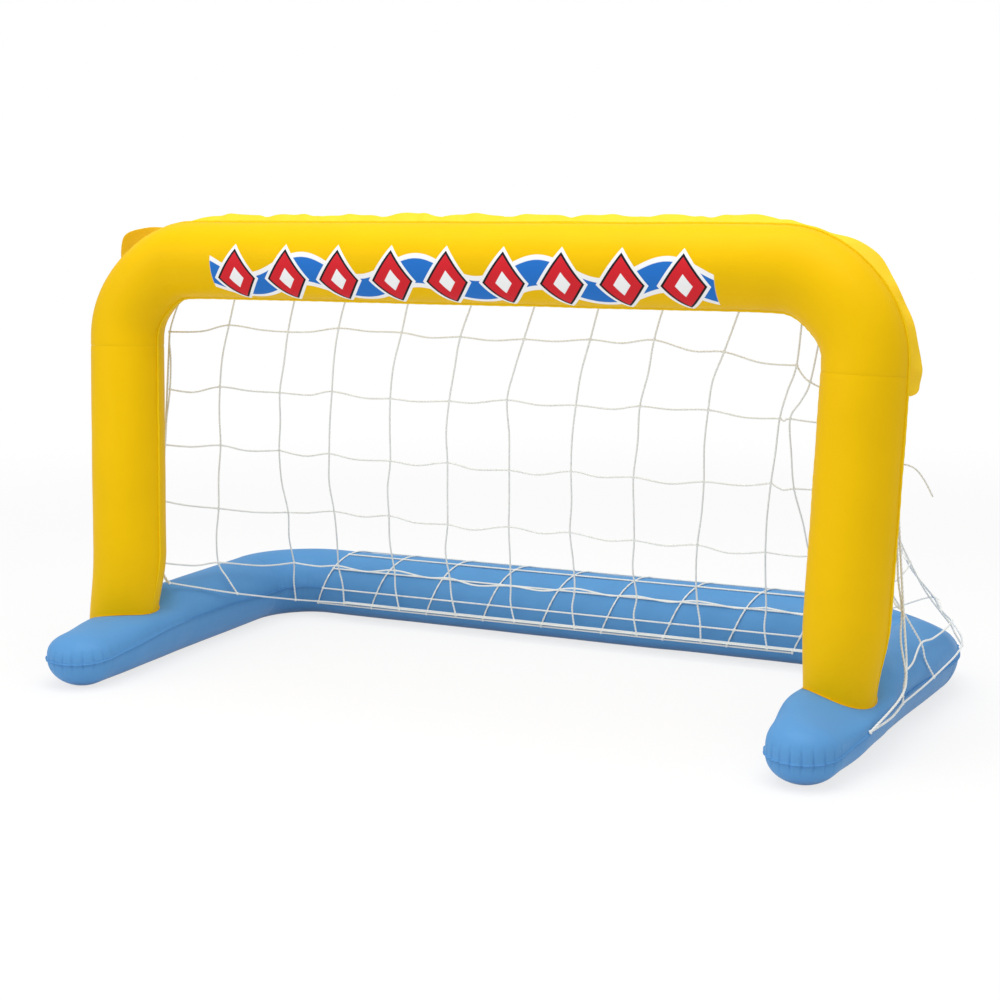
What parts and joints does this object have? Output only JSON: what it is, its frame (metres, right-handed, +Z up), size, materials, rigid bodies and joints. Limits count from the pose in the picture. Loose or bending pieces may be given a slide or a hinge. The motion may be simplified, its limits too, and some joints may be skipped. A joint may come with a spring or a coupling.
{
  "type": "inflatable goal",
  "caption": "Inflatable goal: welded film arch on a U-shaped tube base, with a slung twine net and push-in air valves.",
  "frame": {"origin": "on the floor, midway along the width and the depth of the goal", "axes": "+X along the crossbar to the right as seen from the front, +Y back through the goal, +Z up"},
  "size_m": [1.4283, 0.7705, 0.7627],
  "materials": {
    "arch_film": "satin welded PVC film",
    "hem_film": "satin welded PVC film",
    "base_film": "satin welded PVC film",
    "net_twine": "twisted twine",
    "valve_vinyl": "soft clear vinyl"
  },
  "bodies": {
    "goal": {"arch_crossbar_front_panel": "arch_film", "arch_crossbar_rear_panel": "arch_film", "arch_left_post_front_panel": "arch_film", "arch_left_post_rear_panel": "arch_film", "arch_right_post_front_panel": "arch_film", "arch_right_post_rear_panel": "arch_film", "base_rear_tube_upper_panel": "base_film", "base_rear_tube_lower_panel": "base_film", "base_left_arm_upper_panel": "base_film", "base_left_arm_lower_panel": "base_film", "base_right_arm_upper_panel": "base_film", "base_right_arm_lower_panel": "base_film", "net_hem": "hem_film", "net_left_side_panel": "net_twine", "net_rear_panel": "net_twine", "net_right_side_panel": "net_twine", "net_tube_wrap": "net_twine", "net_head_cord": "net_twine", "net_foot_cord": "net_twine", "left_border_cord": "net_twine", "right_border_cord": "net_twine", "tie_cord": "net_twine", "arch_valve_flange": "valve_vinyl", "base_valve_flange": "valve_vinyl"},
    "arch_valve_tube": {"arch_valve_stem": "valve_vinyl"},
    "arch_valve_check": {"arch_valve_flap": "valve_vinyl"},
    "arch_valve_cap": {"arch_valve_plug": "valve_vinyl"},
    "base_valve_tube": {"base_valve_stem": "valve_vinyl"},
    "base_valve_check": {"base_valve_flap": "valve_vinyl"},
    "base_valve_cap": {"base_valve_plug": "valve_vinyl"}
  },
  "joints": [
    {"name": "arch_valve_push", "type": "slide", "parent": "goal", "child": "arch_valve_tube", "axis": [0, 0.997, -0.0776], "range_m": [-0.0098, 0]},
    {"name": "arch_plug_hinge", "type": "hinge", "parent": "arch_valve_tube", "child": "arch_valve_cap", "pos_m": [-0.64363, -0.08803, 0.29295], "axis": [0, 0.0776, 0.997], "range_deg": [0, 150]},
    {"name": "arch_flap_hinge", "type": "hinge", "parent": "arch_valve_tube", "child": "arch_valve_check", "pos_m": [-0.64013, -0.10866, 0.29456], "axis": [0, -0.0776, -0.997], "range_deg": [0, 60], "stiffness_Nm_per_rad": 0.001},
    {"name": "base_valve_push", "type": "slide", "parent": "goal", "child": "base_valve_tube", "axis": [-0.9076, -0.0371, 0.4183], "range_m": [-0.0098, 0]},
    {"name": "base_plug_hinge", "type": "hinge", "parent": "base_valve_tube", "child": "base_valve_cap", "pos_m": [-0.69875, 0.04704, 0.0905], "axis": [0.4179, 0.0171, 0.9083], "range_deg": [0, 150]},
    {"name": "base_flap_hinge", "type": "hinge", "parent": "base_valve_tube", "child": "base_valve_check", "pos_m": [-0.68011, 0.05131, 0.08184], "axis": [-0.4179, -0.0171, -0.9083], "range_deg": [0, 60], "stiffness_Nm_per_rad": 0.001}
  ]
}
